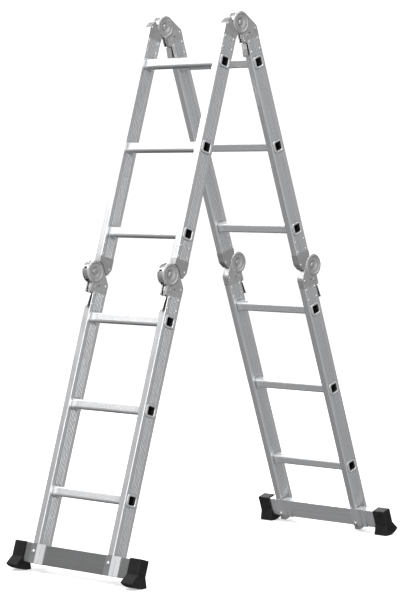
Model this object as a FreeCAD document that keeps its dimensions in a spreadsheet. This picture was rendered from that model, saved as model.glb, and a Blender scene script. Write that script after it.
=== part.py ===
import FreeCAD, Part
import Sketcher
import math
import os
from types import SimpleNamespace
from FreeCAD import Placement, Rotation, Vector

# Multi position ladder: four sections of three rungs, joined by six click hinges, standing as an A-frame.
#
# Frame: X along the rungs, the front half towards -Y, the back half towards +Y, Z up, millimetres.
# Every section has its own frame with its origin on the top hinge's axis: Z runs up along the stiles and
# Y across them.  Every hinge piece is drawn about its own pivot, with Z towards the disc's stile and the
# stiles' centreline on the -Y side.

SIZES = {
    # whole ladder
    "front_lean": 18.8,          # degrees from upright
    "back_lean": 17.2,
    "ladder_width": 360,         # over the stiles' outer faces
    "rung_pitch": 280,
    "rungs_per_section": 3,
    # stiles: rectangular extrusion with flutes in both wide faces
    "stile_depth": 58,
    "stile_thick": 25,
    "stile_wall": 2,
    "stile_corner": 3,
    "flute_count": 5,
    "flute_pitch": 6,
    "flute_wide": 3.8,
    "flute_floor": 0.8,
    "flute_deep": 1.2,
    "disc_end_gap": 56,          # from a pivot to the stile on its disc side
    "fork_end_gap": 60,          # from a pivot to the stile on its fork side
    "lower_end": 1762,           # from the top pivot to the lower stiles' feet end
    # rungs: ribbed square tube, swaged over the stiles' walls at both ends
    "rung_side": 30,
    "rung_wall": 1.5,
    "rung_corner": 7,
    "bore_corner": 4.5,
    "rung_fit": 0.2,             # clearance round the rung in the stile
    "rib_count": 5,
    "rib_pitch": 4,
    "rib_wide": 1.8,
    "rib_deep": 0.5,
    "ribbed_length": 262,
    "collar_thick": 2.2,
    "collar_wide": 45,
    "collar_tall": 40,
    "collar_corner": 12,
    "collar_round": 1.4,         # of its outer edge
    "mouth_flare": 1.2,          # of the open end inside the collar
    "bead_wide": 37,
    "bead_corner": 8,
    # click hinges
    "pivot_offset": 36,          # from a stile's centreline to its pivot
    "head_radius": 36,
    "head_half": 12.6,           # half of a fork's thickness
    "slot_half": 7.6,            # half of the slot that holds the disc
    "disc_half": 7,
    "disc_radius": 35.4,
    "disc_room": 37.5,           # radius of the slot in the fork
    "lobe_room": 37.4,           # radius at which the disc's lobe starts
    "rim_inner": 25.5,
    "rim_outer": 34.5,
    "rim_slope": 3,              # from the rim's foot to its flat top
    "rim_high": 1.6,
    "dish_radius": 18,
    "dish_floor": 9.5,
    "dish_deep": 3,
    "head_round": 1.2,           # of a cheek's outer edge, round the head and down the shoulder
    "pin_radius": 6,
    "pin_fit": 0.05,
    "pin_head": 8.5,
    "pin_head_high": 2.2,
    "ear_side": 5,               # how far a fork's ears stand past the pivot line
    "ear_end": 66,
    "ear_corner": 5,
    "shoulder_angle": 36.87,     # degrees: how far above level the shoulders' sloped edges face
    "shoulder_reach": 35.6,      # from the pivot to the fork's sloped edge
    "shoulder_corner": 15,
    "mouth_in": 19,              # the latch's mouth reaches this far inside the pivot line
    "mouth_down": 54,
    "lobe_reach": 37,            # from the pivot to the lobe's sloped edge
    "lobe_tip_up": 0,
    "lobe_tip_out": 52,
    "lobe_tip_corner": 4,
    "lobe_side_up": 22,
    "lobe_corner": 20,
    "notch_wide": 7,
    "notch_deep": 6,
    "tongue_fit": 0.3,
    "tongue_wall": 2.4,
    "tongue_length": 62,
    "tongue_overlap": 4,         # runs this far back into its fork or disc
    "cheek_hole_in": 26,         # small hole beside the latch
    "cheek_hole_down": 40,
    "rivet_radius": 2.6,
    "rivet_head": 4.4,
    "rivet_high": 1.4,
    "rivet_half_span": 20,
    "rivet_first": 8,            # from a stile's end to its first row of rivets
    "rivet_pitch": 34,
    "corner_rivet_out": 56,      # the single rivet by each shoulder, from the pivot
    "fork_rivet_down": 35,
    "lobe_rivet_up": 21,
    # release levers
    "lever_pin_in": 12,          # from the pivot line, towards the stile
    "lever_pin_down": 46,
    "lever_pin_radius": 2.5,
    "lever_pin_fit": 0.06,
    "lever_pin_head": 3.8,
    "lever_hub": 5.2,
    "lever_arm_half": 4.4,
    "lever_plate_half": 10,
    "lever_plate_top": 69,
    "lever_plate": 2.4,
    "lever_corner": 4,
    "lever_root_step": 0.5,      # the arm's narrowing above its plate
    "lever_root_drop": 0.8,
    "lever_end": 112,
    "lever_root_in": 2.5,        # the plate's stile side, at its top
    "lever_end_out": 2.6,        # the plate's stile side, at its free end
    "latch_half": 3,
    "latch_gap": 0.9,            # between the latch's tip and the disc's rim
    "coil_inner": 2.7,
    "coil_outer": 4.6,
    "coil_start": 4.7,
    "coil_stop": 7.2,
    # stabiliser bars
    "bar_tall": 60,
    "bar_deep": 25,
    "bar_wall": 2.2,
    "bar_fit": 0.2,
    "bar_corner": 1.5,
    "short_overhang": 28,        # bare bar between stile and foot, left side
    "long_overhang": 78,         # bare bar between stile and foot, right side
    "bolt_down": 1738,           # from the top pivot to the bolts
    "clip_thick": 1.2,
    "strip_wide": 18,
    "strip_high": 1,
    "strip_seam": 3,
    "clip_hook": 9,
    "bolt_radius": 4,
    "bolt_length": 16,
    "bolt_head": 6.5,
    "bolt_head_high": 4,
    "front_bar_down": 1744,      # from the top pivot to the front bar's middle
    # feet
    "foot_length": 48,
    "foot_wall": 4,
    "foot_top": 33.5,
    "foot_top_corner": 2.5,
    "foot_flank_down": 16,       # where toe and heel start
    "toe_out": 17.5,
    "toe_down": 44,
    "heel_in": 13.5,
    "heel_down": 45,
    "foot_below": 60,
    "sole_radius": 72,
    "sole_middle_out": 2,        # centre of the sole's curve, from the bar's middle
    "sole_middle_up": 17.5,
    "sole_flat": 18,
}


class Size:
    """A number that knows how the sheet works it out, so that it can drive a property."""

    def __init__(self, value, text):
        self.value = float(value)
        self.text = text

    def joined(self, other, sign, value):
        other_text = other.text if isinstance(other, Size) else repr(float(other))
        return Size(value, f"({self.text} {sign} {other_text})")

    def __add__(self, other):
        return self.joined(other, "+", self.value + number(other))

    def __sub__(self, other):
        return self.joined(other, "-", self.value - number(other))

    def __rsub__(self, other):
        return Size(other - self.value, f"({float(other)!r} - {self.text})")

    def __mul__(self, other):
        return self.joined(other, "*", self.value * number(other))

    def __truediv__(self, other):
        return self.joined(other, "/", self.value / number(other))

    def __neg__(self):
        return Size(-self.value, f"(0 - {self.text})")


def number(size):
    return size.value if isinstance(size, Size) else float(size)


doc = FreeCAD.newDocument("MultiPositionLadder")
sheet = doc.addObject("Spreadsheet::Sheet", "Sizes")
for line, (alias, figure) in enumerate(SIZES.items(), start=1):
    sheet.set(f"A{line}", alias)
    sheet.set(f"B{line}", str(figure))
    sheet.setAlias(f"B{line}", alias)
doc.recompute()
d = SimpleNamespace(**{alias: Size(figure, f"Sizes.{alias}") for alias, figure in SIZES.items()})

LEAN = {True: SIZES["front_lean"], False: SIZES["back_lean"]}
CORNER_STEPS = 5                 # straight steps round a corner that is drawn, not filleted
FLARE_SLOPE = 40                 # degrees
parts = []


# ---------------------------------------------------------------- drawing helpers

def bind(thing, prop, size):
    """Set a property, and tie it to the sheet when it comes from there."""
    setattr(thing, prop, number(size))
    if isinstance(size, Size):
        thing.setExpression(prop, size.text)


def new_body(label):
    body = doc.addObject("PartDesign::Body", label)
    body.Label = label
    parts.append(body)
    return body


class Drawing:
    """A closed outline on one of a body's own origin planes, lifted along the plane's normal."""

    def __init__(self, body, role, lift=0):
        self.sketch = body.newObject("Sketcher::SketchObject", body.Label + "_sketch")
        plane = next(item for item in body.Origin.OriginFeatures if item.Role == role)
        self.sketch.AttachmentSupport = [(plane, "")]
        self.sketch.MapMode = "FlatFace"
        if number(lift):
            self.sketch.AttachmentOffset = Placement(Vector(0, 0, number(lift)), Rotation())
            if isinstance(lift, Size):
                self.sketch.setExpression("AttachmentOffset.Base.z", lift.text)
        self.lines = []
        self.rules = []
        self.bound = {}

    def rule(self, *terms, size=None):
        if isinstance(size, Size):
            self.bound[len(self.rules)] = size.text
        self.rules.append(Sketcher.Constraint(*terms))

    def pin(self, item, end, across, up):
        """Fix one point at (across, up) from the origin."""
        for kind, size, axis in (("DistanceX", across, -2), ("DistanceY", up, -1)):
            if abs(number(size)) < 1e-9:
                self.rule("PointOnObject", item, end, axis)
            else:
                self.rule(kind, -1, 1, item, end, number(size), size=size)

    def polygon(self, corners):
        first = len(self.lines)
        count = len(corners)
        spots = [Vector(number(across), number(up), 0) for across, up in corners]
        self.lines += [Part.LineSegment(a, b) for a, b in zip(spots, spots[1:] + spots[:1])]
        for index, (across, up) in enumerate(corners):
            self.rule("Coincident", first + (index - 1) % count, 2, first + index, 1)
            self.pin(first + index, 1, across, up)
        return self

    def rectangle(self, left, right, bottom, top):
        return self.polygon([(left, bottom), (right, bottom), (right, top), (left, top)])

    def rounded(self, half_side, radius):
        """A square about the origin, each corner rounded in short steps."""
        corners = []
        for quarter in range(4):
            for step in range(CORNER_STEPS + 1):
                angle = math.radians(90 * (quarter + step / CORNER_STEPS))
                toward = [(1, 1), (-1, 1), (-1, -1), (1, -1)][quarter]
                corners.append(tuple((half_side - radius) * way + radius * part
                                     for way, part in zip(toward, (math.cos(angle), math.sin(angle)))))
        return self.polygon(corners)

    def circle(self, across, up, radius):
        item = len(self.lines)
        self.lines.append(Part.Circle(Vector(number(across), number(up), 0), Vector(0, 0, 1), number(radius)))
        self.pin(item, 3, across, up)
        self.rule("Radius", item, number(radius), size=radius)
        return self

    def done(self):
        self.sketch.addGeometry(self.lines, False)
        self.sketch.addConstraint(self.rules)
        for index, text in self.bound.items():
            self.sketch.setExpression(f"Constraints[{index}]", text)
        return self.sketch


def pad(body, drawing, length, symmetric=False, reverse=False):
    feature = body.newObject("PartDesign::Pad", body.Label + "_pad")
    feature.Profile = drawing.done()
    bind(feature, "Length", length)
    feature.Midplane = symmetric
    feature.Reversed = reverse
    return feature


def cut(body, drawing, length, symmetric=False, reverse=False):
    """Pocket, checked to have removed metal from the solid."""
    doc.recompute()
    before = body.Shape.Volume
    feature = body.newObject("PartDesign::Pocket", body.Label + "_pocket")
    feature.Profile = drawing.done()
    bind(feature, "Length", length)
    feature.Midplane = symmetric
    feature.Reversed = reverse
    doc.recompute()
    if not body.Shape.Volume < before - 0.01:
        raise ValueError(f"{body.Label}: a pocket cut nothing")
    return feature


def straight_row(body, axis, drawing, span, count):
    """A straight pattern along an axis of the drawing that made the feature."""
    step = body.newObject("PartDesign::LinearPattern", body.Label + "_row")
    step.Direction = (drawing.sketch, [axis])
    bind(step, "Length", span)
    step.Occurrences = count
    return step


def full_turn(body, role, count):
    """A full circle's pattern about one of the body's own axes."""
    step = body.newObject("PartDesign::PolarPattern", body.Label + "_turn")
    step.Axis = (next(item for item in body.Origin.OriginFeatures if item.Role == role), [""])
    step.Angle = 360
    step.Occurrences = count
    return step


def repeat(body, feature, *steps):
    """Repeat a cut by several patterns in turn, checked to have removed more metal."""
    before = feature.Shape.Volume
    pattern = body.newObject("PartDesign::MultiTransform", body.Label + "_repeat")
    pattern.Originals = [feature]
    pattern.Transformations = list(steps)
    body.Tip = pattern
    doc.recompute()
    if not body.Shape.Volume < before - 0.01:
        raise ValueError(f"{body.Label}: a pattern cut nothing")
    return pattern


def spin(body, outlines, remove=False):
    """Turn outlines of (along, radius) corners about the body's X axis, to add metal or to take it away."""
    doc.recompute()
    before = body.Shape.Volume
    kind = "Groove" if remove else "Revolution"
    drawing = Drawing(body, "XY_Plane")
    for outline in outlines:
        drawing.polygon(outline)
    feature = body.newObject(f"PartDesign::{kind}", f"{body.Label}_{kind.lower()}")
    feature.Profile = drawing.done()
    feature.ReferenceAxis = (drawing.sketch, ["H_Axis"])
    feature.Angle = 360
    doc.recompute()
    if not (body.Shape.Volume < before) == remove:
        raise ValueError(f"{body.Label}: a turned feature changed nothing")
    return feature


def round_edges(body, radius, chosen, curved=False):
    """Fillet the edges that the test picks, by their middle point and direction."""
    doc.recompute()
    base = body.Tip
    names = []
    for index, edge in enumerate(base.Shape.Edges, start=1):
        if not curved and edge.Curve.TypeId != "Part::GeomLine":
            continue
        direction = edge.tangentAt(edge.FirstParameter)
        if chosen(edge.CenterOfMass, direction):
            names.append(f"Edge{index}")
    if not names:
        raise ValueError(f"{body.Label}: no edge to round")
    fillet = body.newObject("PartDesign::Fillet", body.Label + "_fillet")
    fillet.Base = (base, names)
    bind(fillet, "Radius", radius)
    return fillet


def along_x(direction):
    return abs(direction.x) > 0.99


def along_z(direction):
    return abs(direction.z) > 0.99


def near(value, size, slack=0.4):
    return abs(value - number(size)) < slack


# ---------------------------------------------------------------- frames

def section_frame(front):
    """Placement of a section's frame: the half leans out from the top pivot."""
    return Placement(Vector(0, 0, 0), Rotation(Vector(1, 0, 0), -LEAN[True] if front else LEAN[False]))


def outward(front):
    """The Y direction, in a section's frame, that points away from the other half."""
    return -1 if front else 1


STILE_MIDDLE = (SIZES["ladder_width"] - SIZES["stile_thick"]) / 2
PIVOT = SIZES["pivot_offset"]
MID_DOWN = SIZES["rung_pitch"] * SIZES["rungs_per_section"]
SIDES = (("left", -1), ("right", 1))
HALVES = (("front", True), ("back", False))

# ---------------------------------------------------------------- stiles


def stile(label, front, side, start, stop, rung_downs, rivet_rows, bolt=None):
    """One stile, from start to stop below the top pivot, pierced for its rungs, rivets and bolt."""
    body = new_body(label)
    half_thick = d.stile_thick / 2
    half_deep = d.stile_depth / 2
    profile = Drawing(body, "XY_Plane", -stop)
    profile.rectangle(-half_thick, half_thick, -half_deep, half_deep)
    pad(body, profile, stop - start)
    round_edges(body, d.stile_corner, lambda middle, way: along_z(way))
    flute = Drawing(body, "XY_Plane", -stop)
    span = d.flute_pitch * (SIZES["flute_count"] - 1)
    lowest = -span / 2
    flute.polygon([
        (half_thick, lowest - d.flute_wide / 2), (half_thick, lowest + d.flute_wide / 2),
        (half_thick - d.flute_deep, lowest + d.flute_floor / 2), (half_thick - d.flute_deep, lowest - d.flute_floor / 2),
    ])
    groove = cut(body, flute, stop - start, reverse=True)
    repeat(body, groove, straight_row(body, "V_Axis", flute, span, SIZES["flute_count"]),
           full_turn(body, "Z_Axis", 2))
    cavity = Drawing(body, "XY_Plane", -stop)
    cavity.rectangle(d.stile_wall - half_thick, half_thick - d.stile_wall,
                   d.stile_wall - half_deep, half_deep - d.stile_wall)
    cut(body, cavity, stop - start, reverse=True)
    windows = Drawing(body, "YZ_Plane")
    reach = d.rung_side / 2 + d.rung_fit
    short = reach - d.rung_corner / 2
    for down in rung_downs:
        ring = [(short, reach), (-short, reach), (-reach, short), (-reach, -short),
                (-short, -reach), (short, -reach), (reach, -short), (reach, short)]
        windows.polygon([(across, up - down) for across, up in ring])
    cut(body, windows, d.stile_thick * 2, symmetric=True)
    holes = Drawing(body, "YZ_Plane")
    for down in rivet_rows:
        for across in (-d.rivet_half_span, d.rivet_half_span):
            holes.circle(across, -down, d.rivet_radius)
    cut(body, holes, d.stile_thick * 2, symmetric=True)
    if bolt is not None:
        # the bar's bolt goes through the narrow face on the bar's side
        hole = Drawing(body, "XZ_Plane")
        hole.circle(0, -bolt, d.bolt_radius)
        cut(body, hole, d.stile_depth, reverse=True)
    offset = Placement(Vector(side * STILE_MIDDLE, outward(front) * PIVOT, 0), Rotation())
    body.Placement = section_frame(front).multiply(offset)


def rivet_rows_from(stile_end, direction):
    """Distances below the top pivot of a tongue's two rows of rivets."""
    return [stile_end + (d.rivet_first + d.rivet_pitch * step) * direction for step in (0, 1)]


mid_down = d.rung_pitch * d.rungs_per_section
upper_rungs = [d.rung_pitch * (index + 0.5) for index in range(3)]
lower_rungs = [mid_down + down for down in upper_rungs]
upper_stop = mid_down - d.disc_end_gap
lower_start = mid_down + d.fork_end_gap
section_ends = {
    ("front", "upper"): (d.disc_end_gap, upper_stop),
    ("back", "upper"): (d.fork_end_gap, upper_stop),
    ("front", "lower"): (lower_start, d.lower_end),
    ("back", "lower"): (lower_start, d.lower_end),
}
for (half, level), (start, stop) in section_ends.items():
    rows = rivet_rows_from(start, 1)
    if level == "upper":
        rows += rivet_rows_from(stop, -1)
    for side_name, side in SIDES:
        stile(f"stile_{half}_{level}_{side_name}", half == "front", side, start, stop,
              upper_rungs if level == "upper" else lower_rungs, rows,
              d.bolt_down if level == "lower" else None)

# ---------------------------------------------------------------- rungs


def rung(label, front, down):
    """A ribbed square tube, swaged outside into a collar and inside into a bead on each stile."""
    body = new_body(label)
    half_width = d.ladder_width / 2
    half_side = d.rung_side / 2
    tube = Drawing(body, "YZ_Plane")
    tube.rectangle(-half_side, half_side, -half_side, half_side)
    pad(body, tube, d.ladder_width + d.collar_thick, symmetric=True)
    round_edges(body, d.rung_corner, lambda middle, way: along_x(way))
    collar = Drawing(body, "YZ_Plane", half_width)
    collar.rectangle(-d.collar_wide / 2, d.collar_wide / 2, -d.collar_tall / 2, d.collar_tall / 2)
    pad(body, collar, d.collar_thick)
    far_collar = Drawing(body, "YZ_Plane", -half_width)
    far_collar.rectangle(-d.collar_wide / 2, d.collar_wide / 2, -d.collar_tall / 2, d.collar_tall / 2)
    pad(body, far_collar, d.collar_thick, reverse=True)
    round_edges(body, d.collar_corner, lambda middle, way: along_x(way) and near(abs(middle.y), d.collar_wide / 2))
    outer_face = half_width + d.collar_thick
    round_edges(body, d.collar_round, lambda middle, way: near(abs(middle.x), outer_face, 0.01), curved=True)
    inner_face = half_width - d.stile_thick
    bead = Drawing(body, "YZ_Plane", inner_face)
    bead.rectangle(-d.bead_wide / 2, d.bead_wide / 2, -d.bead_wide / 2, d.bead_wide / 2)
    pad(body, bead, d.collar_thick, reverse=True)
    far_bead = Drawing(body, "YZ_Plane", -inner_face)
    far_bead.rectangle(-d.bead_wide / 2, d.bead_wide / 2, -d.bead_wide / 2, d.bead_wide / 2)
    pad(body, far_bead, d.collar_thick)
    round_edges(body, d.bead_corner, lambda middle, way: along_x(way) and near(abs(middle.y), d.bead_wide / 2))
    bore = Drawing(body, "YZ_Plane")
    bore.rounded(half_side - d.rung_wall, d.bore_corner)
    cut(body, bore, d.ladder_width * 2, symmetric=True)
    for reverse in (False, True):
        mouth = Drawing(body, "YZ_Plane", -outer_face if reverse else outer_face)
        mouth.rounded(half_side - d.rung_wall + d.mouth_flare, d.bore_corner + d.mouth_flare)
        flare = cut(body, mouth, d.mouth_flare, reverse=reverse)
        flare.TaperAngle = -FLARE_SLOPE
    rib = Drawing(body, "YZ_Plane")
    span = d.rib_pitch * (SIZES["rib_count"] - 1)
    rib.rectangle(-(span + d.rib_wide) / 2, (d.rib_wide - span) / 2, half_side - d.rib_deep, half_side)
    groove = cut(body, rib, d.ribbed_length, symmetric=True)
    repeat(body, groove, straight_row(body, "H_Axis", rib, span, SIZES["rib_count"]), full_turn(body, "X_Axis", 4))
    offset = Placement(Vector(0, outward(front) * PIVOT, -number(down)), Rotation())
    body.Placement = section_frame(front).multiply(offset)


for half, front in HALVES:
    for level, downs in (("upper", upper_rungs), ("lower", lower_rungs)):
        for index, down in enumerate(downs, start=1):
            rung(f"rung_{half}_{level}_{index}", front, down)

# ---------------------------------------------------------------- click hinges
# Drawn about the pivot: Y across the stiles with their centreline at -pivot_offset, Z along them.

stile_back = -(d.pivot_offset + d.stile_depth / 2)
stile_near = d.stile_depth / 2 - d.pivot_offset
CLICK_ANGLES = (0, 28, 97, 144, 180)
LATCH_ANGLE = -90
SLOPE_ACROSS = math.cos(math.radians(SIZES["shoulder_angle"]))
SLOPE_UP = math.sin(math.radians(SIZES["shoulder_angle"]))
shoulder_low = (d.shoulder_reach + stile_back * SLOPE_ACROSS) / SLOPE_UP
lobe_foot = -(d.lobe_reach - d.lobe_tip_up * SLOPE_UP) / SLOPE_ACROSS


def tongue(body, start, upward):
    """A sleeve that slides into the stile's end."""
    reach_x = d.stile_thick / 2 - d.stile_wall - d.tongue_fit
    reach_y = d.stile_depth / 2 - d.stile_wall - d.tongue_fit
    middle = -d.pivot_offset
    root = start - d.tongue_overlap
    sleeve = Drawing(body, "XY_Plane", root if upward else -root)
    sleeve.rectangle(-reach_x, reach_x, middle - reach_y, middle + reach_y)
    wall = d.tongue_wall
    sleeve.rectangle(wall - reach_x, reach_x - wall, middle - reach_y + wall, middle + reach_y - wall)
    pad(body, sleeve, d.tongue_length + d.tongue_overlap, reverse=not upward)


def rivet_holes(body, start, upward):
    holes = Drawing(body, "YZ_Plane")
    for step in (0, 1):
        down = start + d.rivet_first + d.rivet_pitch * step
        for across in (-d.rivet_half_span, d.rivet_half_span):
            holes.circle(across - d.pivot_offset, down if upward else -down, d.rivet_radius)
    cut(body, holes, d.stile_thick * 2, symmetric=True)


def fork(label):
    """Two cheeks with dished heads, joined by a web, above a tongue for the stile below."""
    body = new_body(label)
    end = -d.fork_end_gap
    cheek = Drawing(body, "YZ_Plane")
    inside = -d.head_radius / 2
    cheek.polygon([
        (stile_back, end), (stile_near, end), (stile_near, -d.ear_end), (d.ear_side, -d.ear_end),
        (d.ear_side, inside), (-d.shoulder_reach * SLOPE_ACROSS, d.shoulder_reach * SLOPE_UP),
        (stile_back, shoulder_low),
    ])
    pad(body, cheek, d.head_half * 2, symmetric=True)
    round_edges(body, d.shoulder_corner, lambda middle, way: along_x(way) and near(middle.y, stile_back)
                and near(middle.z, shoulder_low))
    round_edges(body, d.ear_corner, lambda middle, way: along_x(way) and near(middle.y, d.ear_side)
                and near(middle.z, -d.ear_end))
    head = Drawing(body, "YZ_Plane")
    head.circle(0, 0, d.head_radius)
    pad(body, head, d.head_half * 2, symmetric=True)
    round_edges(body, d.head_round, lambda middle, way: near(abs(middle.x), d.head_half, 0.01)
                and middle.z > number(shoulder_low), curved=True)
    rims = []
    dishes = []
    for along in (d.head_half, -d.head_half):
        out = 1 if along is d.head_half else -1
        crest = along + d.rim_high * out
        floor = along - d.dish_deep * out
        rims.append([(along, d.rim_inner), (crest, d.rim_inner + d.rim_slope),
                     (crest, d.rim_outer - d.rim_slope), (along, d.rim_outer)])
        dishes.append([(along, 0), (floor, 0), (floor, d.dish_floor), (along, d.dish_radius)])
    spin(body, rims)
    spin(body, dishes, remove=True)
    room = Drawing(body, "YZ_Plane")
    room.circle(0, 0, d.disc_room)
    cut(body, room, d.slot_half * 2, symmetric=True)
    mouth = Drawing(body, "YZ_Plane")
    mouth.polygon([(-d.mouth_in, -d.mouth_down), (stile_near, -d.mouth_down), (stile_near, -d.ear_end - 2),
                   (d.ear_side + 2, -d.ear_end - 2), (d.ear_side + 2, inside), (-d.mouth_in, inside)])
    cut(body, mouth, d.slot_half * 2, symmetric=True)
    tongue(body, d.fork_end_gap, False)
    rivet_holes(body, d.fork_end_gap, False)
    bores = Drawing(body, "YZ_Plane")
    bores.circle(0, 0, d.pin_radius + d.pin_fit)
    bores.circle(-d.lever_pin_in, -d.lever_pin_down, d.lever_pin_radius)
    bores.circle(-d.cheek_hole_in, -d.cheek_hole_down, d.rivet_radius)
    bores.circle(-d.corner_rivet_out, -d.fork_rivet_down, d.rivet_radius)
    cut(body, bores, d.stile_thick * 2, symmetric=True)
    return body


def disc(label):
    """A notched locking disc that carries a lobe and a tongue for the stile above."""
    body = new_body(label)
    plate = Drawing(body, "YZ_Plane")
    plate.circle(0, 0, d.disc_radius)
    pad(body, plate, d.disc_half * 2, symmetric=True)
    outline = [
        (-d.lobe_tip_out, d.lobe_tip_up), (lobe_foot, d.lobe_tip_up),
        (-d.lobe_reach * SLOPE_ACROSS, d.lobe_reach * SLOPE_UP), (stile_near, d.disc_radius / 2),
        (stile_near, d.disc_end_gap), (stile_back, d.disc_end_gap), (stile_back, d.lobe_side_up),
    ]
    neck = Drawing(body, "YZ_Plane")
    neck.polygon(outline)
    pad(body, neck, d.disc_half * 2, symmetric=True)
    for reverse in (False, True):
        lobe = Drawing(body, "YZ_Plane", -d.disc_half if reverse else d.disc_half)
        lobe.polygon(outline)
        thick = d.stile_thick / 2 - d.disc_half
        pad(body, lobe, thick, reverse=reverse)
    round_edges(body, d.lobe_corner, lambda middle, way: along_x(way) and near(middle.y, stile_back)
                and near(middle.z, d.lobe_side_up))
    round_edges(body, d.lobe_tip_corner, lambda middle, way: along_x(way) and near(middle.y, -d.lobe_tip_out)
                and near(middle.z, d.lobe_tip_up))
    for reverse in (False, True):
        clear = Drawing(body, "YZ_Plane", -d.disc_half if reverse else d.disc_half)
        clear.circle(0, 0, d.lobe_room)
        cut(body, clear, d.stile_thick, reverse=not reverse)
    notches = Drawing(body, "YZ_Plane")
    for click in CLICK_ANGLES:
        angle = math.radians(LATCH_ANGLE + click)
        radial = (math.cos(angle), math.sin(angle))
        half_wide = SIZES["notch_wide"] / 2
        inner = SIZES["disc_radius"] - SIZES["notch_deep"]
        outer = SIZES["disc_radius"] + 1
        notches.polygon([
            (reach * radial[0] - shift * radial[1], reach * radial[1] + shift * radial[0])
            for reach, shift in ((inner, -half_wide), (outer, -half_wide), (outer, half_wide), (inner, half_wide))])
    cut(body, notches, d.disc_half * 2, symmetric=True)
    tongue(body, d.disc_end_gap, True)
    rivet_holes(body, d.disc_end_gap, True)
    bore = Drawing(body, "YZ_Plane")
    bore.circle(0, 0, d.pin_radius + d.pin_fit)
    bore.circle(-d.corner_rivet_out, d.lobe_rivet_up, d.rivet_radius)
    cut(body, bore, d.stile_thick * 2, symmetric=True)
    return body


def hinge_frames(position):
    """Where a fork and its disc stand in the world, for each of the three hinge lines."""
    half_turn_z = Rotation(Vector(0, 0, 1), 180)
    half_turn_y = Rotation(Vector(0, 1, 0), 180)
    if position == "top":
        fork_frame = section_frame(False).multiply(Placement(Vector(0, 0, 0), half_turn_z))
        disc_frame = section_frame(True).multiply(Placement(Vector(0, 0, 0), half_turn_y))
        return fork_frame, disc_frame
    front = position == "front"
    pivot = Vector(0, outward(front) * 2 * PIVOT, -MID_DOWN)
    turn = half_turn_z if front else Rotation()
    frame = section_frame(front).multiply(Placement(pivot, turn))
    return frame, frame


def shifted(frame, side):
    """The same frame, moved along the rungs to one of the two stiles."""
    moved = Placement(frame)
    moved.Base = frame.Base + Vector(side * STILE_MIDDLE, 0, 0)
    return moved


POSITIONS = ("top", "front", "back")
for position in POSITIONS:
    fork_frame, disc_frame = hinge_frames(position)
    for side_name, side in SIDES:
        fork(f"hinge_fork_{position}_{side_name}").Placement = shifted(fork_frame, side)
        disc(f"hinge_disc_{position}_{side_name}").Placement = shifted(disc_frame, side)

# ---------------------------------------------------------------- release levers


def lever(label):
    """A latch tooth, its hub and the plate that the thumb presses, in one stamping."""
    body = new_body(label)
    hub = Drawing(body, "YZ_Plane")
    hub.circle(-d.lever_pin_in, -d.lever_pin_down, d.lever_hub)
    pad(body, hub, d.lever_arm_half * 2, symmetric=True)
    tip = -(d.disc_radius + d.latch_gap)
    hub_under = -(d.lever_pin_down + d.lever_hub)
    arm = Drawing(body, "YZ_Plane")
    arm.polygon([
        (-d.lever_pin_in, hub_under), (-d.lever_root_in - d.lever_root_step, hub_under - d.lever_root_drop),
        (-d.lever_root_in, -d.lever_plate_top),
        (d.lever_plate - d.lever_root_in, -d.lever_plate_top), (d.latch_half, hub_under), (d.latch_half, tip),
        (-d.latch_half, tip), (-d.latch_half, tip - d.lever_hub), (-d.lever_pin_in, d.lever_hub - d.lever_pin_down),
    ])
    pad(body, arm, d.lever_arm_half * 2, symmetric=True)
    plate = Drawing(body, "YZ_Plane")
    plate.polygon([
        (-d.lever_root_in, -d.lever_plate_top), (d.lever_end_out, -d.lever_end),
        (d.lever_end_out + d.lever_plate, -d.lever_end), (d.lever_plate - d.lever_root_in, -d.lever_plate_top),
    ])
    pad(body, plate, d.lever_plate_half * 2, symmetric=True)
    round_edges(body, d.lever_corner, lambda middle, way: near(abs(middle.x), d.lever_plate_half)
                and near(middle.z, -d.lever_end))
    bore = Drawing(body, "YZ_Plane")
    bore.circle(-d.lever_pin_in, -d.lever_pin_down, d.lever_pin_radius + d.lever_pin_fit)
    cut(body, bore, d.lever_arm_half * 4, symmetric=True)
    return body


# ---------------------------------------------------------------- turned pieces


def turned(label, outline):
    """A pattern piece turned about X from an outline of (along, radius) corners; it isn't a part itself."""
    body = doc.addObject("PartDesign::Body", label)
    body.Label = label
    drawing = Drawing(body, "XY_Plane")
    drawing.polygon(outline)
    feature = body.newObject("PartDesign::Revolution", label + "_turning")
    feature.Profile = drawing.done()
    feature.ReferenceAxis = (drawing.sketch, ["H_Axis"])
    feature.Angle = 360
    doc.recompute()
    return body


def double_headed(label, half_grip, radius, head, high):
    """A rivet or pin with the same low domed head on both ends."""
    top = half_grip + high
    return turned(label, [
        (-top, 0), (-top, head * 0.6), (-half_grip - high * 0.5, head * 0.92), (-half_grip, head), (-half_grip, radius),
        (half_grip, radius), (half_grip, head), (half_grip + high * 0.5, head * 0.92), (top, head * 0.6), (top, 0),
    ])


rivet = double_headed("pattern_rivet", d.stile_thick / 2, d.rivet_radius, d.rivet_head, d.rivet_high)
pivot_pin = double_headed("pattern_pivot_pin", d.head_half - d.dish_deep, d.pin_radius, d.pin_head, d.pin_head_high)
cheek_rivet = double_headed("pattern_cheek_rivet", d.head_half, d.rivet_radius, d.rivet_head, d.rivet_high)
lever_pin = double_headed("pattern_lever_pin", d.head_half, d.lever_pin_radius, d.lever_pin_head, d.rivet_high)
coil = turned("pattern_coil", [(d.coil_start, d.coil_inner), (d.coil_stop, d.coil_inner),
                               (d.coil_stop, d.coil_outer), (d.coil_start, d.coil_outer)])
bolt = turned("pattern_bolt", [
    (0, 0), (0, d.bolt_radius), (d.bolt_length, d.bolt_radius), (d.bolt_length, d.bolt_head),
    (d.bolt_length + d.bolt_head_high * 0.5, d.bolt_head * 0.95),
    (d.bolt_length + d.bolt_head_high, d.bolt_head * 0.6), (d.bolt_length + d.bolt_head_high, 0),
])


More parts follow.
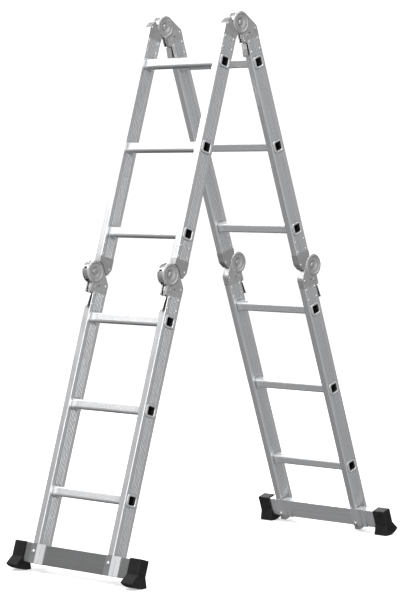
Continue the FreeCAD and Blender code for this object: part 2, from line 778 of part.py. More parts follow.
def group(label, pieces):
    """Several equal fasteners, each placed, kept together as one part."""
    part = doc.addObject("Part::Feature", label)
    part.Label = label
    solids = []
    for pattern, frame in pieces:
        solid = pattern.Shape.copy()
        solid.Placement = frame
        solids.append(solid)
    part.Shape = Part.Compound(solids)
    parts.append(part)
    return part


def moved(frame, *where):
    return frame.multiply(Placement(Vector(*(number(part) for part in where)), Rotation()))


ABOUT_Z = Rotation(Vector(0, 0, 1), 180)
corner_rivets = {section: [] for section in section_ends}
for position in POSITIONS:
    fork_frame, disc_frame = hinge_frames(position)
    pins = []
    coils = []
    disc_section = (position if position == "back" else "front", "upper")
    fork_section = ("back", "upper") if position == "top" else (position, "lower")
    for side_name, side in SIDES:
        frame = shifted(fork_frame, side)
        cheek_hole = moved(frame, 0, -d.corner_rivet_out, -d.fork_rivet_down)
        corner_rivets[fork_section].append((cheek_rivet, cheek_hole))
        lobe_hole = moved(shifted(disc_frame, side), 0, -d.corner_rivet_out, d.lobe_rivet_up)
        corner_rivets[disc_section].append((rivet, lobe_hole))
        lever(f"release_lever_{position}_{side_name}").Placement = frame
        hub_frame = moved(frame, 0, -d.lever_pin_in, -d.lever_pin_down)
        pins += [(pivot_pin, frame), (lever_pin, hub_frame)]
        coils += [(coil, hub_frame), (coil, hub_frame.multiply(Placement(Vector(), ABOUT_Z)))]
    group(f"hinge_pins_{position}", pins)
    group(f"lever_springs_{position}", coils)

for half, front in HALVES:
    for level in ("upper", "lower"):
        start, stop = section_ends[(half, level)]
        rows = rivet_rows_from(start, 1)
        if level == "upper":
            rows += rivet_rows_from(stop, -1)
        rivets = corner_rivets[(half, level)]
        for side_name, side in SIDES:
            for down in rows:
                for across in (-d.rivet_half_span, d.rivet_half_span):
                    rivets.append((rivet, moved(section_frame(front), side * STILE_MIDDLE,
                                                across + outward(front) * PIVOT, -down)))
        group(f"rivets_{half}_{level}", rivets)

# ---------------------------------------------------------------- stabiliser bars
# Drawn about the middle of the bar's section; its closed face is towards -Y on both halves.

bar_left = -(d.ladder_width / 2 + d.short_overhang + d.foot_length - d.foot_wall)
bar_right = d.ladder_width / 2 + d.long_overhang + d.foot_length - d.foot_wall
FRONT_BAR_OUT = SIZES["pivot_offset"] + SIZES["stile_depth"] / 2 + SIZES["bar_wall"] - SIZES["bar_deep"] / 2
BACK_BAR_OUT = SIZES["pivot_offset"] - SIZES["stile_depth"] / 2 - SIZES["bar_wall"] + SIZES["bar_deep"] / 2
FRONT_BAR_DOWN = SIZES["front_bar_down"]


def sole_height(front, out, down):
    """How high a sole's centre stands above the top pivot, for a bar at (out, down) in its section's frame."""
    lean = math.radians(LEAN[front])
    across = out + SIZES["sole_middle_out"]
    return across * math.sin(lean) - (down - SIZES["sole_middle_up"]) * math.cos(lean)


# the back bar sits higher up its leg, so that all four feet meet the same floor
BACK_BAR_DOWN = FRONT_BAR_DOWN + (sole_height(False, BACK_BAR_OUT, FRONT_BAR_DOWN) - sole_height(
    True, FRONT_BAR_OUT, FRONT_BAR_DOWN)) / math.cos(math.radians(LEAN[False]))


def bar_frame(front):
    out, down = (FRONT_BAR_OUT, FRONT_BAR_DOWN) if front else (BACK_BAR_OUT, BACK_BAR_DOWN)
    return moved(section_frame(front), 0, outward(front) * out, -down)


def bolt_height(front):
    """Height of the bolts above the middle of the bar."""
    return (FRONT_BAR_DOWN if front else BACK_BAR_DOWN) - SIZES["bolt_down"]


def bar(label, front):
    body = new_body(label)
    half_tall, half_deep = d.bar_tall / 2, d.bar_deep / 2
    tube = Drawing(body, "YZ_Plane", bar_left)
    tube.rectangle(-half_deep, half_deep, -half_tall, half_tall)
    pad(body, tube, bar_right - bar_left)
    round_edges(body, d.bar_corner, lambda middle, way: along_x(way))
    bore = Drawing(body, "YZ_Plane", bar_left)
    wall = d.bar_wall
    bore.rectangle(wall - half_deep, half_deep - wall, wall - half_tall, half_tall - wall)
    cut(body, bore, bar_right - bar_left, reverse=True)
    notches = Drawing(body, "XY_Plane")
    holes = Drawing(body, "XZ_Plane")
    half_notch = d.stile_thick / 2 + d.bar_fit
    for side_name, side in SIDES:
        middle = (d.ladder_width - d.stile_thick) / 2 * side
        notches.rectangle(middle - half_notch, middle + half_notch, wall - half_deep, half_deep + wall)
        holes.circle(middle, bolt_height(front), d.bolt_radius + d.pin_fit)
    cut(body, notches, d.bar_tall * 2, symmetric=True)
    cut(body, holes, d.bar_deep, reverse=True)
    body.Placement = bar_frame(front)


def clip_pattern(label, front):
    """A saddle plate bolted over the stile, with two raised strips beside it and hooked over the bar."""
    body = doc.addObject("PartDesign::Body", label)
    body.Label = label
    half_tall, half_thick = d.bar_tall / 2, d.stile_thick / 2
    right = half_thick + d.strip_wide * 2 + d.strip_seam
    plate = Drawing(body, "XZ_Plane", d.bar_deep / 2)
    plate.rectangle(-half_thick, right, -half_tall, half_tall)
    pad(body, plate, d.clip_thick)
    strips = Drawing(body, "XZ_Plane", d.bar_deep / 2 + d.clip_thick)
    strips.rectangle(half_thick, half_thick + d.strip_wide, -half_tall, half_tall)
    strips.rectangle(right - d.strip_wide, right, -half_tall, half_tall)
    pad(body, strips, d.strip_high)
    hooks = Drawing(body, "XZ_Plane", d.bar_deep / 2 + d.clip_thick)
    for edge in (half_tall, -half_tall - d.clip_thick):
        hooks.rectangle(half_thick + d.bar_fit, right, edge, edge + d.clip_thick)
    pad(body, hooks, d.clip_hook, reverse=True)
    hole = Drawing(body, "XZ_Plane")
    hole.circle(0, bolt_height(front), d.bolt_radius)
    cut(body, hole, d.bar_deep, reverse=True)
    return body


for half, front in HALVES:
    bar(f"stabiliser_bar_{half}", front)
    clip = clip_pattern(f"pattern_clip_{half}", front)
    clips = []
    bolts = []
    bolt_way = Rotation(Vector(0, 0, 1), -90)
    for side_name, side in SIDES:
        clips.append((clip, moved(bar_frame(front), side * STILE_MIDDLE, 0, 0)))
        seat = moved(bar_frame(front), side * STILE_MIDDLE, d.bolt_length - d.bar_deep / 2 - d.clip_thick,
                     bolt_height(front))
        bolts.append((bolt, seat.multiply(Placement(Vector(), bolt_way))))
    group(f"saddle_clips_{half}", clips)
    group(f"stabiliser_bolts_{half}", bolts)

# ---------------------------------------------------------------- feet
# Drawn about the middle of the bar's section with Y outwards: toe outwards, heel inwards, curved sole.


def foot(label, front, side):
    body = new_body(label)
    half_long = d.foot_length / 2
    half_deep = d.bar_deep / 2 + d.foot_wall
    toe = half_deep + d.toe_out
    heel = -(half_deep + d.heel_in)
    block = Drawing(body, "YZ_Plane")
    block.polygon([
        (-half_deep, d.foot_top), (-half_deep, -d.foot_flank_down), (heel, -d.heel_down), (heel, -d.foot_below),
        (toe, -d.foot_below), (toe, -d.toe_down), (half_deep, -d.foot_flank_down), (half_deep, d.foot_top),
    ])
    pad(body, block, d.foot_length, symmetric=True)
    round_edges(body, d.foot_top_corner, lambda middle, way: near(middle.z, d.foot_top))
    sole = Drawing(body, "YZ_Plane")
    far = d.sole_radius + d.foot_length
    sole.rectangle(-far, far, -far, far)
    sole.circle(d.sole_middle_out, d.sole_middle_up, d.sole_radius)
    cut(body, sole, d.foot_length * 2, symmetric=True)
    # the sole's flat lies level while the ladder stands as an A-frame
    lean = math.radians(LEAN[front])
    down = (-math.sin(lean), -math.cos(lean))
    level = (math.cos(lean), -math.sin(lean))
    flat = math.sqrt(SIZES["sole_radius"] ** 2 - (SIZES["sole_flat"] / 2) ** 2)
    middle = (SIZES["sole_middle_out"], SIZES["sole_middle_up"])
    wide = SIZES["sole_flat"]
    shave = Drawing(body, "YZ_Plane")
    shave.polygon([tuple(middle[axis] + down[axis] * depth + level[axis] * shift for axis in (0, 1))
                   for depth, shift in ((flat, -wide), (flat, wide), (flat + wide, wide), (flat + wide, -wide))])
    cut(body, shave, d.foot_length * 2, symmetric=True)
    # the socket for the bar opens towards the ladder
    opening = side if front else -side
    socket = Drawing(body, "YZ_Plane", half_long * opening)
    reach_y = d.bar_deep / 2 + d.bar_fit
    reach_z = d.bar_tall / 2 + d.bar_fit
    socket.rectangle(-reach_y, reach_y, -reach_z, reach_z)
    cut(body, socket, d.foot_length - d.foot_wall, reverse=opening < 0)
    outer_end = -bar_left.value + SIZES["foot_wall"] if side < 0 else bar_right.value + SIZES["foot_wall"]
    frame = moved(bar_frame(front), side * (outer_end - SIZES["foot_length"] / 2), 0, 0)
    body.Placement = frame.multiply(Placement(Vector(), ABOUT_Z if front else Rotation()))


for half, front in HALVES:
    for side_name, side in SIDES:
        foot(f"foot_{half}_{side_name}", front, side)

# ---------------------------------------------------------------- check, stand on the floor and write

doc.recompute()
failed = [item.Name for item in doc.Objects if {"Invalid", "Error"} & set(item.State)]
if failed:
    raise ValueError(f"failed objects: {failed}")
for part in parts:
    if part.Shape.isNull() or not part.Shape.isValid() or not part.Shape.Solids:
        raise ValueError(f"{part.Label}: bad shape")

box = FreeCAD.BoundBox()
for part in parts:
    box.add(part.Shape.optimalBoundingBox(False, False))
shift = Vector(-box.Center.x, -box.Center.y, -box.ZMin)
for part in parts:
    placement = Placement(part.Placement)
    placement.Base = placement.Base + shift
    part.Placement = placement
doc.recompute()

os.makedirs("parts", exist_ok=True)
for part in parts:
    part.Shape.exportStep(f"parts/{part.Label}.step")

print("parts", len(parts), "size", round(box.XLength, 2), round(box.YLength, 2), round(box.ZLength, 2))
print("top pivot", tuple(round(value, 3) for value in shift))
for half, front in HALVES:
    pivot = section_frame(front).multVec(Vector(0, outward(front) * 2 * PIVOT, -MID_DOWN)) + shift
    print("mid pivot", half, tuple(round(value, 3) for value in pivot))
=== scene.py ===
import math

import bpy
import bmesh
from mathutils import Matrix, Vector


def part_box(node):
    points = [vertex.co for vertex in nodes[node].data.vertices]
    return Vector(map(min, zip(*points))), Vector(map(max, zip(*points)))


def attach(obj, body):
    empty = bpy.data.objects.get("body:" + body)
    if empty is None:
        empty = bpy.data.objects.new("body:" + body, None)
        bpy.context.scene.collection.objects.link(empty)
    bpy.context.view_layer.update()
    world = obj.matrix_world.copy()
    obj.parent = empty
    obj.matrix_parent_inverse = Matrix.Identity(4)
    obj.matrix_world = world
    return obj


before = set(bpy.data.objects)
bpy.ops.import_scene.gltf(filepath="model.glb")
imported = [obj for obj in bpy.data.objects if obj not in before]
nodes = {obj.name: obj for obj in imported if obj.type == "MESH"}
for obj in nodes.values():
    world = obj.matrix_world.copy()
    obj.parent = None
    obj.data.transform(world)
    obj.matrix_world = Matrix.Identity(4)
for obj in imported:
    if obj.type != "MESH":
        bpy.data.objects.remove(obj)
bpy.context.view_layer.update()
HALF_LEAN = {"front": math.radians(18.8), "back": math.radians(-17.2)}   # from upright


# ---------------------------------------------------------------- node helper
EDGE_SAMPLES = 4
EDGE_FLAT = 0.99           # cosine between the true and the rounded normal: no edge above this
EDGE_SHARP = 0.86          # and a full edge below this
BAND_BLUR = 0.0004         # soft border of a painted band
HOLLOW_SAMPLES = 6


class Tree:
    """Builds a material's nodes: every call returns an output socket."""

    def __init__(self, name):
        self.mat = bpy.data.materials.new(name)
        self.mat.use_nodes = True
        self.tree = self.mat.node_tree
        self.tree.nodes.clear()
        self.coords = self.add("ShaderNodeTexCoord").outputs["Object"]

    def add(self, kind, **settings):
        node = self.tree.nodes.new(kind)
        for key, value in settings.items():
            setattr(node, key, value)
        return node

    def put(self, socket, value):
        if isinstance(value, bpy.types.NodeSocket):
            self.tree.links.new(value, socket)
        else:
            socket.default_value = value

    def place(self, vector, turn=(0, 0, 0), scale=(1, 1, 1)):
        node = self.add("ShaderNodeMapping")
        self.put(node.inputs["Vector"], vector)
        node.inputs["Rotation"].default_value = turn
        node.inputs["Scale"].default_value = scale
        return node.outputs["Vector"]

    def noise(self, vector, scale, detail=2.0, rough=0.5, distort=0.0):
        node = self.add("ShaderNodeTexNoise")
        self.put(node.inputs["Vector"], vector)
        node.inputs["Scale"].default_value = scale
        node.inputs["Detail"].default_value = detail
        node.inputs["Roughness"].default_value = rough
        node.inputs["Distortion"].default_value = distort
        return node.outputs["Fac"]

    def cells(self, vector, scale, feature="F1", out="Distance"):
        node = self.add("ShaderNodeTexVoronoi", feature=feature)
        self.put(node.inputs["Vector"], vector)
        node.inputs["Scale"].default_value = scale
        return node.outputs[out]

    def remap(self, value, low, high, to_low=0.0, to_high=1.0):
        node = self.add("ShaderNodeMapRange", clamp=True)
        self.put(node.inputs["Value"], value)
        for key, number in (("From Min", low), ("From Max", high),
                            ("To Min", to_low), ("To Max", to_high)):
            node.inputs[key].default_value = number
        return node.outputs["Result"]

    def math(self, kind, a, b=0.0):
        node = self.add("ShaderNodeMath", operation=kind)
        self.put(node.inputs[0], a)
        self.put(node.inputs[1], b)
        return node.outputs["Value"]

    def mix(self, factor, a, b, blend="MIX"):
        node = self.add("ShaderNodeMix", data_type="RGBA", blend_type=blend)
        self.put(node.inputs["Factor"], factor)
        self.put(node.inputs["A"], a)
        self.put(node.inputs["B"], b)
        return node.outputs["Result"]

    def bump(self, height, strength, distance):
        node = self.add("ShaderNodeBump")
        self.put(node.inputs["Height"], height)
        node.inputs["Strength"].default_value = strength
        node.inputs["Distance"].default_value = distance
        return node.outputs["Normal"]

    def edges(self, radius):
        """1 on edges, which get wear and a painted highlight, 0 on flats."""
        bevel = self.add("ShaderNodeBevel", samples=EDGE_SAMPLES)
        bevel.inputs["Radius"].default_value = radius
        flat = self.add("ShaderNodeNewGeometry")
        dot = self.add("ShaderNodeVectorMath", operation="DOT_PRODUCT")
        self.put(dot.inputs[0], bevel.outputs["Normal"])
        self.put(dot.inputs[1], flat.outputs["Normal"])
        return self.remap(dot.outputs["Value"], EDGE_FLAT, EDGE_SHARP)

    def bands(self, vector, axis, middles, half):
        """1 within `half` of any of the positions along an axis, 0 elsewhere."""
        split = self.add("ShaderNodeSeparateXYZ")
        self.put(split.inputs[0], vector)
        near = 0.0
        for middle in middles:
            apart = self.math("ABSOLUTE", self.math("SUBTRACT", split.outputs[axis], middle))
            near = self.math("ADD", self.remap(apart, half, half + BAND_BLUR, 1.0, 0.0), near)
        return near

    def shade_in_hollows(self, reach, shut, clear):
        """Mask of painted shade: 0 in the open, 1 deep inside gaps, holes and seams."""
        node = self.add("ShaderNodeAmbientOcclusion", samples=HOLLOW_SAMPLES)
        node.inputs["Distance"].default_value = reach
        return self.remap(node.outputs["AO"], shut, clear, 1.0, 0.0)

    def done(self, **sockets):
        shader = self.add("ShaderNodeBsdfPrincipled")
        for key, value in sockets.items():
            self.put(shader.inputs[key.replace("_", " ")], value)
        out = self.add("ShaderNodeOutputMaterial")
        self.put(out.inputs["Surface"], shader.outputs["BSDF"])
        return self.mat


def grey(level, warm=0.0):
    return (level * (1 + warm), level, level * (1 - warm), 1.0)


# ---------------------------------------------------------------- kinds of surface
# Noise scales are in cells per metre, and distances are in metres.
MIDDLE = (0.3, 0.7)        # the part of a noise's range that is stretched to its full effect
HOLE_SHADE_GREY = 0.02       # grey of the painted shade deep inside holes and seams
HOLE_SHADE_STRENGTH = 0.93          # how much of the surface the painted shade covers there
HOLE_RANGE = (0.15, 0.62)  # share of open sky: a hole below the first, open above the second
BRIGHTEST = 0.97           # of an edge lightened by wear and a painted highlight
METAL_IOR = 1.45
ALLOY_TINT = -0.008        # aluminium is a little blue

DIE_STRETCH = 0.012        # squeezes noise along an extrusion, so that it runs in lines
FINE_LINES, BROAD_LINES, CLOUDS, PITS = 1500, 240, 14, 420
LINE_SHADE, CLOUD_SHADE, PIT_SHADE = 0.86, 0.78, 0.55     # of the metal's own level
CLOUD_SHARE, PIT_SHARE = 0.28, 0.16
# edges are lightened: wear and a painted highlight
ALLOY_EDGE = 0.0011
ALLOY_EDGE_SHARE, ALLOY_EDGE_SHADE = 0.35, 1.3
ALLOY_HOLE = 0.05          # how far a hole is looked for

FLUTES_HALF = 0.0145       # half of the fluted band's width
FLUTES_PAINTED_SHADE = {"front": 0.42, "back": 0.04}    # how much painted shade darkens it against the rest of the face, far more on the front half than the back, as the light falls
FLUTES_SHADE = 0.2         # grey of that painted shade, of the metal's own level
FLUTE_HOLE = 0.003
FLUTE_RANGE = (0.62, 0.90)
FLUTE_FLOOR = 0.10         # grey of the painted shade on a flute's floor

GRAIN, PATCHES, SPANGLES = 900, 60, 260
PATCH_SHADE, SPANGLE_SHADE = 0.84, 0.72
# edges are lightened: wear and a painted highlight
STEEL_EDGE = 0.0016
STEEL_EDGE_SHADE = 1.35
STEEL_HOLE = 0.02

PEBBLE, RUBBER_CLOUDS = 1100, 45
RUBBER_DARK, RUBBER_LIGHT = (0.003, 0.003, 0.0034, 1), (0.009, 0.009, 0.010, 1)
# lighter edges: scuffs and a painted highlight
RUBBER_SCUFF_AND_GLINT = (0.045, 0.045, 0.048, 1)
RUBBER_EDGE, RUBBER_EDGE_SHARE = 0.0016, 0.55
RUBBER_ROUGH = (0.42, 0.62)


def paint_hole_shade(t, shade, reach, tint=0.0):
    """Paint shade into a colour inside holes, gaps and seams."""
    depth = t.math("MULTIPLY", t.shade_in_hollows(reach, *HOLE_RANGE), HOLE_SHADE_STRENGTH)
    return t.mix(depth, shade, grey(HOLE_SHADE_GREY, tint))


def aluminium(name, level, rough, axis, lean, dim=None, flutes=None):
    """Extruded aluminium: die lines along `axis`, dull patches, edges lightened by wear and a painted
    highlight.

    dim is (X positions, half width, level) of bands with another level, which on the clips is the bar's
    painted shade, and flutes is (Y position, share of painted shade) of the fluted band.
    """
    t = Tree(name)
    tint = ALLOY_TINT
    local = t.place(t.coords, turn=(lean, 0, 0))
    along = {"x": (DIE_STRETCH, 1, 1), "z": (1, 1, DIE_STRETCH)}[axis]
    drawn = t.place(local, scale=along)
    fine = t.noise(drawn, FINE_LINES, 3.0, 0.6)
    broad = t.noise(drawn, BROAD_LINES, 2.0, 0.55)
    cloud = t.noise(local, CLOUDS, 3.0, 0.55, 0.4)
    speck = t.remap(t.cells(local, PITS), 0.05, 0.16, 1.0, 0.0)
    shade = t.mix(t.remap(broad, *MIDDLE), grey(level * LINE_SHADE, tint), grey(level, tint))
    shade = t.mix(t.remap(cloud, 0.45, 0.75, 0.0, CLOUD_SHARE), shade, grey(level * CLOUD_SHADE, tint))
    shade = t.mix(t.math("MULTIPLY", speck, PIT_SHARE), shade, grey(level * PIT_SHADE, tint))
    if flutes is not None:
        middle, shade_share = flutes
        # painted shade over the fluted band, stronger on the front half
        band = t.math("MULTIPLY", t.bands(local, "Y", [middle], FLUTES_HALF), shade_share)
        shade = t.mix(band, shade, grey(level * FLUTES_SHADE, tint))
        # painted shade on the floors of the flutes
        shade = t.mix(t.shade_in_hollows(FLUTE_HOLE, *FLUTE_RANGE), shade, grey(FLUTE_FLOOR, tint))
    # bands of another level: on the clips, the bar's painted shade where they cross the stiles
    if dim is not None:
        middles, half_wide, dim_level = dim
        shade = t.mix(t.bands(t.coords, "X", middles, half_wide), shade, grey(dim_level, tint))
    # wear and painted highlight on the edges
    wear_and_glint = t.math("MULTIPLY", t.edges(ALLOY_EDGE), ALLOY_EDGE_SHARE)
    shade = t.mix(wear_and_glint, shade, grey(min(level * ALLOY_EDGE_SHADE, BRIGHTEST), tint))
    # painted shade inside holes, gaps and seams
    shade = paint_hole_shade(t, shade, ALLOY_HOLE, tint)
    dull = t.math("ADD", t.remap(fine, *MIDDLE, rough - 0.05, rough + 0.07),
                  t.remap(cloud, 0.4, 0.8, 0.0, 0.10))
    dull = t.math("SUBTRACT", dull, t.math("MULTIPLY", wear_and_glint, 0.12))
    height = t.math("ADD", fine, t.math("MULTIPLY", broad, 0.8))
    return t.done(Base_Color=shade, Metallic=1.0, Roughness=dull, Normal=t.bump(height, 0.22, 0.00012),
                  IOR=METAL_IOR)


def stile_line(half, lean):
    """Where the stiles' centreline lies across a section, in the material's leaned coordinates."""
    low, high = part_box(f"stile_{half}_upper_left")
    return (Matrix.Rotation(lean, 3, "X") @ ((Vector(low) + Vector(high)) / 2)).y


def pressed_steel(name, level, rough, edge_glint_share=0.5, spangle=0.25):
    """Zinc-plated pressing: soft spangle, drawing marks, edges lightened by wear and a painted highlight."""
    t = Tree(name)
    grain = t.noise(t.coords, GRAIN, 4.0, 0.65)
    patch = t.noise(t.coords, PATCHES, 3.0, 0.5, 0.6)
    split = t.add("ShaderNodeSeparateColor")
    t.put(split.inputs["Color"], t.cells(t.coords, SPANGLES, out="Color"))
    zinc = t.remap(split.outputs[0], 0.0, 1.0, 0.0, spangle)
    shade = t.mix(t.remap(patch, 0.35, 0.7), grey(level * PATCH_SHADE), grey(level))
    shade = t.mix(zinc, shade, grey(level * SPANGLE_SHADE))
    # wear and painted highlight on the edges
    wear_and_glint = t.math("MULTIPLY", t.edges(STEEL_EDGE), edge_glint_share)
    shade = t.mix(wear_and_glint, shade, grey(min(level * STEEL_EDGE_SHADE, BRIGHTEST)))
    # painted shade inside holes, gaps and seams
    shade = paint_hole_shade(t, shade, STEEL_HOLE)
    dull = t.math("ADD", t.remap(grain, *MIDDLE, rough - 0.05, rough + 0.06),
                  t.remap(patch, 0.4, 0.75, 0.0, 0.12))
    height = t.math("ADD", grain, t.math("MULTIPLY", patch, 1.5))
    return t.done(Base_Color=shade, Metallic=1.0, Roughness=dull, Normal=t.bump(height, 0.25, 0.00015),
                  IOR=METAL_IOR)


def rubber(name):
    """Moulded black rubber: fine pebble, soft clouds, corners lightened by scuffs and a painted highlight."""
    t = Tree(name)
    pebble = t.noise(t.coords, PEBBLE, 4.0, 0.7)
    cloud = t.noise(t.coords, RUBBER_CLOUDS, 3.0, 0.55)
    shade = t.mix(t.remap(cloud, 0.35, 0.7), RUBBER_DARK, RUBBER_LIGHT)
    # scuffs and painted highlight on the edges
    wear_and_glint = t.math("MULTIPLY", t.edges(RUBBER_EDGE), RUBBER_EDGE_SHARE)
    shade = t.mix(wear_and_glint, shade, RUBBER_SCUFF_AND_GLINT)
    return t.done(Base_Color=shade, Roughness=t.remap(pebble, *MIDDLE, *RUBBER_ROUGH),
                  Normal=t.bump(pebble, 0.35, 0.0002), Specular_IOR_Level=0.28)


# ---------------------------------------------------------------- materials
# Painted shade: the bars are one metal, but the front bar is painted much darker than the back one, as the
# light falls.
BAR_SHADED_LEVEL = {"front": 0.33, "back": 0.86}
# The clips' own finish is bright, and it is painted a little lighter on the front half than the back as the
# light falls: partly a painted highlight.
CLIP_LIT_LEVEL = {"front": 0.97, "back": 0.92}
CLIP_ROUGH = {"front": 0.50, "back": 0.34}
FINISH = {"foot_rubber": rubber("rubber_black")}
for half, lean in HALF_LEAN.items():
    FINISH["stile_aluminium", half] = aluminium("stile_metal_" + half, 0.86, 0.30, "z", lean,
                                                flutes=(stile_line(half, lean), FLUTES_PAINTED_SHADE[half]))
    FINISH["rung_aluminium", half] = aluminium("rung_metal_" + half, 0.92, 0.42, "x", lean)
    FINISH["bar_aluminium", half] = aluminium("bar_metal_" + half, BAR_SHADED_LEVEL[half], 0.34, "x", lean)
    stiles = [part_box(f"stile_{half}_lower_{side}") for side in ("left", "right")]
    plates = [(low[0] + high[0]) / 2 for low, high in stiles]
    plate_half = (stiles[0][1][0] - stiles[0][0][0]) / 2
    # the clips carry the bar's painted shade in bands where they cross the stiles
    FINISH["clip_aluminium", half] = aluminium(
        "clip_metal_" + half, CLIP_LIT_LEVEL[half], CLIP_ROUGH[half], "z", lean,
        dim=(plates, plate_half, BAR_SHADED_LEVEL[half]))
# the hinges get the full edge wear and painted highlight
FINISH["hinge_steel"] = pressed_steel("hinge_metal", 0.74, 0.24, edge_glint_share=1.0)
FINISH["disc_steel"] = pressed_steel("disc_metal", 0.62, 0.36)
FINISH["pin_steel"] = pressed_steel("pin_metal", 0.66, 0.30)
FINISH["lever_steel"] = pressed_steel("lever_metal", 0.84, 0.30)
FINISH["spring_steel"] = pressed_steel("spring_metal", 0.50, 0.28)
FINISH["rivet_aluminium"] = pressed_steel("rivet_metal", 0.95, 0.24, spangle=0.1)
FINISH["bolt_steel"] = pressed_steel("bolt_metal", 0.90, 0.24)
for name, node in nodes.items():
    half = "back" if "back" in name else "front"
    for part_slot in node.material_slots:
        kind = part_slot.material.name.split(".")[0]
        part_slot.material = FINISH.get(kind) or FINISH[kind, half]


# ---------------------------------------------------------------- anti-slip teeth on the rungs
TOOTH_PITCH = 0.006
TOOTH_WIDE = 0.0024        # at its foot, and half of that at its crest
TOOTH_HALF = 0.0085        # half of its length across the rung's ribs
TOOTH_HIGH = 0.0005
TREAD_LONG = 0.250
RUNG_HALF = 0.0149         # a rung's face, less a little so that the teeth grow out of it


def add_tooth(bm, turn, middle, x, face, out):
    """One low ridge across the ribs of a rung's front or rear face."""
    ring = []
    for level, half in ((0.0, TOOTH_WIDE / 2), (TOOTH_HIGH, TOOTH_WIDE / 4)):
        corners = ((-half, -TOOTH_HALF), (half, -TOOTH_HALF), (half, TOOTH_HALF), (-half, TOOTH_HALF))
        for across, up in corners:
            spot = Vector((across, out * (face + level), up))
            ring.append(bm.verts.new(Vector((x, middle.y, middle.z)) + turn @ spot))
    bm.faces.new(ring[4:])
    bm.faces.new(ring[3::-1])
    for side in range(4):
        following = (side + 1) % 4
        bm.faces.new((ring[side], ring[following], ring[following + 4], ring[side + 4]))


def rung_treads(half, lean, level, index):
    low, high = (Vector(corner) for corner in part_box(f"rung_{half}_{level}_{index}"))
    middle = (low + high) / 2
    turn = Matrix.Rotation(-lean, 3, "X")
    mesh = bpy.data.meshes.new("tread")
    bm = bmesh.new()
    count = int(TREAD_LONG / TOOTH_PITCH)
    for step in range(count + 1):
        for out in (-1, 1):
            add_tooth(bm, turn, middle, middle.x + (step - count / 2) * TOOTH_PITCH, RUNG_HALF, out)
    bmesh.ops.recalc_face_normals(bm, faces=bm.faces)
    bm.to_mesh(mesh)
    bm.free()
    tread = bpy.data.objects.new(f"tread_{half}_{level}_{index}", mesh)
    bpy.context.scene.collection.objects.link(tread)
    mesh.materials.append(FINISH["rung_aluminium", half])
    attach(tread, f"{half}_{level}")


for half, lean in HALF_LEAN.items():
    for level in ("upper", "lower"):
        for index in (1, 2, 3):
            rung_treads(half, lean, level, index)


# ---------------------------------------------------------------- studio
def stage_material(name, colour, glow):
    t = Tree(name)
    tone = t.mix(t.remap(t.noise(t.coords, 3.0), 0.3, 0.7), grey(colour), grey(colour * 0.985))
    return t.done(Base_Color=tone, Roughness=0.9, Emission_Color=(1, 1, 1, 1), Emission_Strength=glow)


def camera_only(obj, diffuse=False):
    obj.visible_glossy = False
    obj.visible_transmission = False
    obj.visible_volume_scatter = False
    obj.visible_diffuse = diffuse
    obj.visible_shadow = diffuse


def disc_mesh(name, radius):
    mesh = bpy.data.meshes.new(name)
    bm = bmesh.new()
    bmesh.ops.create_circle(bm, cap_ends=True, radius=radius, segments=FLOOR_SIDES)
    bm.to_mesh(mesh)
    bm.free()
    return mesh


def dome_mesh(name, radius):
    mesh = bpy.data.meshes.new(name)
    bm = bmesh.new()
    bmesh.ops.create_icosphere(bm, subdivisions=4, radius=radius)
    bmesh.ops.reverse_faces(bm, faces=bm.faces)
    bm.to_mesh(mesh)
    bm.free()
    return mesh


FLOOR_RADIUS, DOME_RADIUS, FLOOR_SIDES = 60, 61, 96
floor = bpy.data.objects.new("studio_floor", disc_mesh("studio_floor", FLOOR_RADIUS))
floor.data.materials.append(stage_material("floor_paper", 0.88, 0.42))
dome = bpy.data.objects.new("studio_dome", dome_mesh("studio_dome", DOME_RADIUS))
dome.data.materials.append(stage_material("dome_white", 0.0, 1.2))
for obj in (floor, dome):
    bpy.context.scene.collection.objects.link(obj)
camera_only(floor, diffuse=True)
camera_only(dome)

# The room as the metal sees it: by height, and brighter on the photographer's side.
ROOM = [(-1.0, 0.10), (-0.47, 0.33), (-0.12, 0.40), (0.0, 0.46), (0.22, 0.45),
        (0.40, 0.46), (0.62, 0.75), (1.0, 1.0)]
BRIGHT_SIDE = (0.69, -0.72, 0.0)
DIM_SIDE, LIT_SIDE = 0.35, 1.75
world = bpy.data.worlds.new("studio")
bpy.context.scene.world = world
world.use_nodes = True
room = world.node_tree
room.nodes.clear()


def room_node(kind, feed=None, **settings):
    node = room.nodes.new(kind)
    for key, value in settings.items():
        setattr(node, key, value)
    if feed is not None:
        room.links.new(feed, node.inputs[0])
    return node


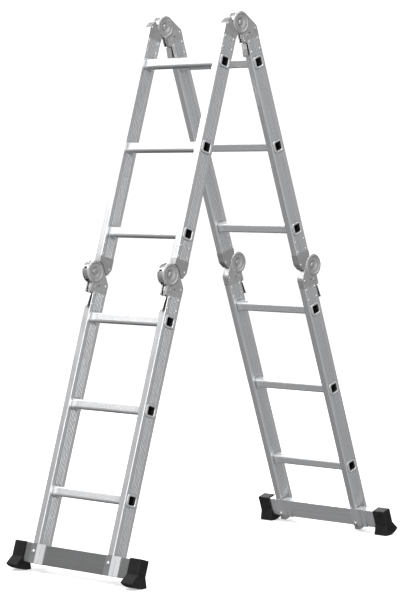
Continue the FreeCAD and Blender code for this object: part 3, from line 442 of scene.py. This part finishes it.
ray = room_node("ShaderNodeTexCoord").outputs["Generated"]
height = room_node("ShaderNodeMapRange", room_node("ShaderNodeSeparateXYZ", ray).outputs["Z"])
height.inputs["From Min"].default_value = -1
ramp = room_node("ShaderNodeValToRGB", height.outputs["Result"])
stops = ramp.color_ramp.elements
while len(stops) < len(ROOM):
    stops.new(0.5)
for stop, (level_z, level) in zip(stops, ROOM):
    stop.position = (level_z + 1) / 2
    stop.color = (level, level, level * 1.01, 1)
facing = room_node("ShaderNodeVectorMath", ray, operation="DOT_PRODUCT")
facing.inputs[1].default_value = BRIGHT_SIDE
side_light = room_node("ShaderNodeMapRange", facing.outputs["Value"], interpolation_type="SMOOTHSTEP")
for key, number in (("From Min", -1.0), ("From Max", 1.0), ("To Min", DIM_SIDE), ("To Max", LIT_SIDE)):
    side_light.inputs[key].default_value = number
sky = room_node("ShaderNodeBackground", ramp.outputs["Color"])
room.links.new(side_light.outputs["Result"], sky.inputs["Strength"])
room_node("ShaderNodeOutputWorld", sky.outputs["Background"])


def softbox(name, centre, aim, size, power):
    light = bpy.data.lights.new(name, "AREA")
    light.shape = "RECTANGLE"
    light.size, light.size_y = size
    light.energy = power
    obj = bpy.data.objects.new(name, light)
    bpy.context.scene.collection.objects.link(obj)
    obj.location = centre
    obj.rotation_euler = (Vector(aim) - Vector(centre)).to_track_quat("-Z", "Y").to_euler()
    obj.visible_camera = False
    return obj


softbox("softbox_left", (-3.5, -3.1, 4.5), (0, 0, 1.5), (3.2, 1.8), 84)
softbox("softbox_top", (0.6, -0.6, 5.4), (0, 0, 1.0), (3.4, 3.4), 130)
softbox("softbox_behind", (-3.4, 2.9, 3.4), (0, 0.3, 0.7), (2.6, 1.6), 90)
softbox("softbox_front", (3.9, -4.1, 2.7), (0, 0, 1.0), (1.6, 2.2), 60)

# ---------------------------------------------------------------- camera
camera = bpy.data.objects.new("camera", bpy.data.cameras.new("camera"))
bpy.context.scene.collection.objects.link(camera)
camera.data.sensor_fit = "HORIZONTAL"
SENSOR = 36                # millimetres
FOCAL, FRAME_WIDE = 2407.3, 407                # focal length and frame width, both in pixels
camera.data.sensor_width = SENSOR
camera.data.lens = SENSOR * FOCAL / FRAME_WIDE
YAW, PITCH, ROLL = (math.radians(v) for v in (44.195, 4.325, -1.319))
camera.location = (5.3494, -5.503, 1.39195)
camera.rotation_euler = (Matrix.Rotation(YAW, 3, "Z") @ Matrix.Rotation(math.pi / 2 - PITCH, 3, "X")
                         @ Matrix.Rotation(ROLL, 3, "Z")).to_euler()
camera.data.clip_end = 200
bpy.context.scene.camera = camera
bpy.context.scene.view_settings.view_transform = "Standard"
bpy.context.scene.view_settings.look = "None"
